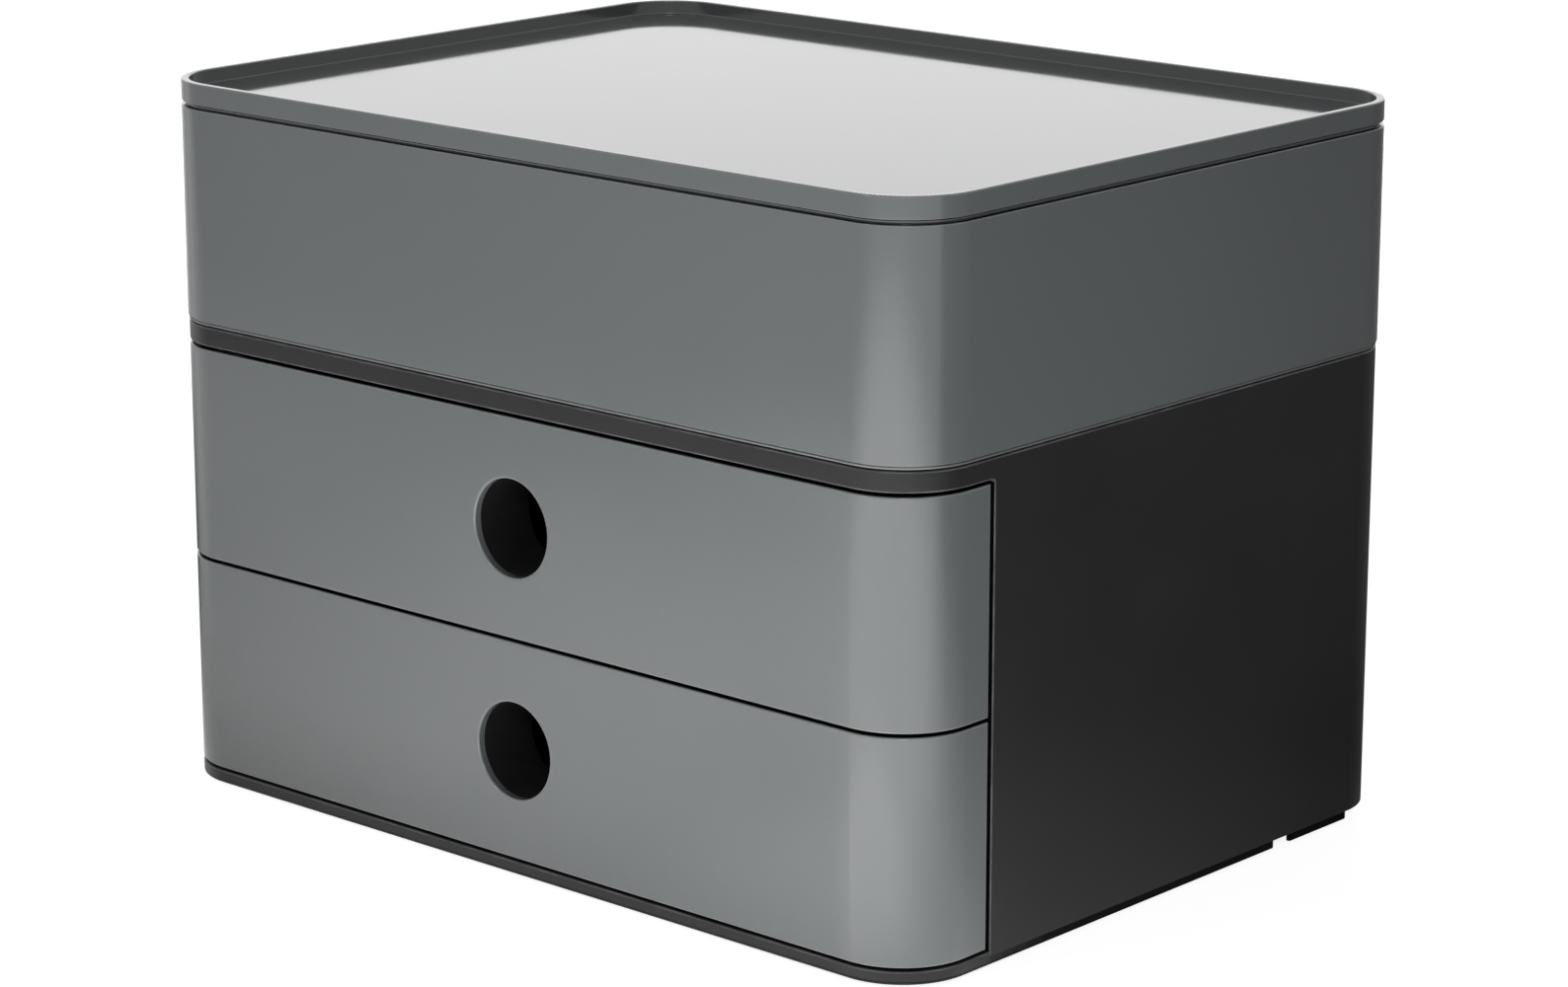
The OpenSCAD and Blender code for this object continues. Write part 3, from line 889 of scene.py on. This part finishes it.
lid_low, lid_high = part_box("lid")
lid_r = 19.5 * mm
lid_wall_end_z = box_high.z + 0.7 * mm
lid_lip_top_z = box_high.z + 0.3 * mm
lid_groove = 1.9 * mm
lid_lip = 0.9 * mm
lid_rim = 2.2 * mm
lid_floor_z = lid_high.z - 3.8 * mm
lid_floor_edge_r, lid_top_edge_r, lid_wall_edge_r = 0.4 * mm, 0.35 * mm, 0.15 * mm
ring_inset = 2.8 * mm
ring_t = 1.8 * mm


def inside_lid_rim(p):
    """True on the inner walls of the rim, between its rounded edges"""
    upright = lid_floor_z + 0.3 * mm < p.z < lid_high.z - 0.5 * mm
    return upright and reach(p) < lid_r - 1.5 * mm


def round_lid_lip(p):
    """True in the groove above the lid's lip and below it, but not on the lip's own outer wall"""
    lip_wall = near(p.z, (lid_lip_top_z + box_high.z) / 2)
    in_reach = lid_r - ring_inset < reach(p) < lid_r - 0.2 * mm
    return p.z < lid_wall_end_z + 0.01 * mm and in_reach and not lip_wall


bm = blank()
plan = box_corners(lid_low.x, lid_high.x, lid_low.y, lid_high.y, lid_r)
top = outline(bm, plan, lid_high.z, 24)
under = pull(bm, [top], z=lid_wall_end_z - lid_high.z)
inset(bm, under, lid_groove)
under = pull(bm, under, z=lid_lip_top_z - lid_wall_end_z)
under = pull(bm, under, wider=lid_groove - lid_lip)
under = pull(bm, under, z=box_high.z - lid_lip_top_z)
inset(bm, under, ring_inset - lid_lip)
ring = inset(bm, under, ring_t)
pull(bm, ring, z=lid_low.z - box_high.z)
inset(bm, [top], lid_rim)
floor = pull(bm, [top], z=lid_floor_z - lid_high.z)
# The crease round the floor gets a light painted shade
round_off(bm, list(floor[0].edges), lid_floor_edge_r, 3, painted_light_and_wear=-0.4)
round_off(bm, edges_where(bm, lambda p: near(p.z, lid_high.z)), lid_top_edge_r, 3)
wall_edge = edges_where(bm, lambda p: near(reach(p), lid_r) and near(p.z, lid_wall_end_z))
round_off(bm, wall_edge, lid_wall_edge_r, 2)
# Painted shade on the inner walls of the rim
paint_shade(bm, inside_lid_rim, -0.25)
# Painted shade in the groove above the lip and under it
paint_shade(bm, round_lid_lip)
finished(bm, "lid_moulding", "lid", ["lid"], "granite_gloss_abs", grey)


# ---- Studio ----
# A pale floor that keeps the object's shadow, a white surround, soft lamps, two grey flags that
# only a gloss sees, and a camera at the angle of the photograph.


def shown_ray(tree):
    """1 for the rays that show the surround: seen straight on, in a gloss, or through a clear part"""
    path = add(tree, "ShaderNodeLightPath")
    first = add(tree, "ShaderNodeMath", links={0: path.outputs["Is Camera Ray"],
                                               1: path.outputs["Is Glossy Ray"]}, operation="MAXIMUM")
    return add(tree, "ShaderNodeMath", links={0: first.outputs[0],
                                              1: path.outputs["Is Transmission Ray"]},
               operation="MAXIMUM").outputs[0]


def pale_floor():
    """Matt white studio board, lifted to white where it is open to the lamps"""
    material, tree, place = new_material("matt_white_board")
    board = add(tree, "ShaderNodeBsdfDiffuse",
                links={"Color": blended(tree, noise(tree, place, 300), "C8C8C8", "CCCCCC")})
    lift = spread(tree, shown_ray(tree), 0, 1, 0, 0.88)
    lifted = add(tree, "ShaderNodeEmission", links={"Strength": lift})
    both = add(tree, "ShaderNodeAddShader", links={0: board.outputs[0], 1: lifted.outputs[0]})
    add(tree, "ShaderNodeOutputMaterial", links={"Surface": both.outputs[0]})
    return material


def lamp(name, place, aim, width, height, power):
    """Soft rectangular lamp that faces a point"""
    light = bpy.data.lights.new(name, "AREA")
    light.shape = "RECTANGLE"
    light.size, light.size_y, light.energy = width, height, power
    obj = bpy.data.objects.new(name, light)
    obj.location = place
    obj.rotation_euler = (Vector(aim) - Vector(place)).to_track_quat("-Z", "Y").to_euler()
    bpy.context.scene.collection.objects.link(obj)
    return obj


def fade_out(light):
    """Lets a lamp fade from its middle to its edge"""
    light.use_nodes = True
    tree = light.node_tree
    tree.nodes.clear()
    across = add(tree, "ShaderNodeNewGeometry").outputs["Parametric"]
    centred = add(tree, "ShaderNodeMapping", {"Location": (-1, -1, 0), "Scale": (2, 2, 1)},
                  {"Vector": across})
    inward = add(tree, "ShaderNodeTexGradient", links={"Vector": centred.outputs[0]},
                 gradient_type="SPHERICAL").outputs["Fac"]
    strength = spread(tree, inward, 0, 0.65, 0, 1, "SMOOTHSTEP")
    emission = add(tree, "ShaderNodeEmission", links={"Strength": strength})
    add(tree, "ShaderNodeOutputLight", links={"Surface": emission.outputs[0]})


def times(tree, first, second):
    """Product of two values"""
    return add(tree, "ShaderNodeMath", links={0: first, 1: second}, operation="MULTIPLY").outputs[0]


def flag_card(name, density):
    """Grey card that a gloss sees as dense as the function density says for each place"""
    material, tree, place = new_material(name)
    card = add(tree, "ShaderNodeBsdfDiffuse",
               links={"Color": blended(tree, noise(tree, place, 50), "8A8A8A", "929292")})
    open_air = add(tree, "ShaderNodeBsdfTransparent")
    both = add(tree, "ShaderNodeMixShader", links={0: density(tree, place), 1: open_air.outputs[0],
                                                   2: card.outputs[0]})
    add(tree, "ShaderNodeOutputMaterial", links={"Surface": both.outputs[0]})
    return material


def plan_axes(tree, place):
    """The X and Y of a place, in millimetres from the middle of the object"""
    along = add(tree, "ShaderNodeSeparateXYZ", links={"Vector": place})
    return along.outputs["X"], along.outputs["Y"]


def round_the_object(tree, place):
    """Dense beside and behind the object, and thin far in front of it on the left"""
    x, y = plan_axes(tree, place)
    rear = times(tree, spread(tree, y, -160, -20, 0, 1), spread(tree, x, -700, -350, 0.4, 1))
    rear = times(tree, rear, spread(tree, y, 80, 350, 1, 0.95))
    front = times(tree, spread(tree, y, -350, -550, 0, 0.35), spread(tree, x, 50, -200, 0, 1))
    return add(tree, "ShaderNodeMath", links={0: rear, 1: front}, operation="ADD").outputs[0]


def before_the_drawers(tree, place):
    """Thin in front of the drawers, with a sharp end where the start of the round corner mirrors it"""
    _, y = plan_axes(tree, place)
    across_the_end, end = (0.755, -0.656, 0), 147.4
    across = add(tree, "ShaderNodeVectorMath", {1: across_the_end}, {0: place},
                 operation="DOT_PRODUCT").outputs["Value"]
    dense = times(tree, spread(tree, across, end + 4, end - 4, 0, 1),
                  spread(tree, across, end - 114, end - 20, 0, 0.27))
    dense = times(tree, dense, spread(tree, y, -480, -400, 0, 1))
    return times(tree, dense, spread(tree, y, -260, -200, 1, 1.3))


def staged_board(name, size, z, material):
    """Square board that lies flat and belongs to the studio"""
    bm = bmesh.new()
    bmesh.ops.create_grid(bm, x_segments=1, y_segments=1, size=size / 2)
    mesh = bpy.data.meshes.new(name)
    bm.to_mesh(mesh)
    bm.free()
    mesh.materials.append(material)
    board = bpy.data.objects.new(name, mesh)
    board.location.z = z
    bpy.context.scene.collection.objects.link(board)
    return board


staged_board("floor", 12.0, 0.0, pale_floor())
for name, size, z, density in (("grey_flag", 5.0, 0.4 * mm, round_the_object),
                               ("thin_flag", 1.6, 1.5 * mm, before_the_drawers)):
    flag = staged_board(name, size, z, flag_card(f"{name}_card", density))
    flag.visible_camera = flag.visible_shadow = flag.visible_diffuse = False

world = bpy.data.worlds.new("white_surround")
world.use_nodes = True
bpy.context.scene.world = world
world.node_tree.nodes.clear()
fill = 0.11
surround = add(world.node_tree, "ShaderNodeBackground",
               links={"Strength": spread(world.node_tree, shown_ray(world.node_tree), 0, 1, fill, 1.0)})
surround.inputs["Color"].default_value = srgb("FFFFFF")
add(world.node_tree, "ShaderNodeOutputWorld", links={"Surface": surround.outputs[0]})

lamp("key", (1.05, -1.16, 0.8), (0.05, 0, 0.08), 0.35, 0.3, 5.6)
lamp("strip", (-0.26, -1.24, 0.8), (0.1, -0.1, 0.1), 0.1, 0.4, 1.3)
lamp("rear_card", (-1.5, 1.7, 0.75), (0, 0, 0.19), 3.0, 2.0, 11)
back_fill = lamp("back_fill", (-1.0, 1.0, 0.4), (0, 0, 0.1), 1.0, 0.4, 12)
back_fill.visible_camera = back_fill.visible_glossy = False
glow = lamp("front_glow", (0.24, -0.44, 0.001), (0.24, -0.44, 1), 1.18, 1.18, 8.7)
glow.data.color = (1.0, 0.993, 0.982)
fade_out(glow.data)
glow.visible_camera = False
low_glow = lamp("low_glow", (0.11, -0.19, 0.0012), (0.11, -0.19, 1), 0.24, 0.27, 0.2)
fade_out(low_glow.data)
low_glow.visible_camera = low_glow.visible_diffuse = False

azimuth, elevation = math.radians(41.898), math.radians(14.506)
back = Vector((math.sin(azimuth) * math.cos(elevation), -math.cos(azimuth) * math.cos(elevation),
               math.sin(elevation)))
camera_data = bpy.data.cameras.new("camera")
camera_data.sensor_width = 36
camera_data.lens = 104.5
camera = bpy.data.objects.new("camera", camera_data)
camera.location = (0.77133, -0.85623, 0.37894)
camera.rotation_mode = "QUATERNION"
camera.rotation_quaternion = (-back).to_track_quat("-Z", "Y")
bpy.context.scene.collection.objects.link(camera)
bpy.context.scene.camera = camera
bpy.context.scene.view_settings.view_transform = "Standard"
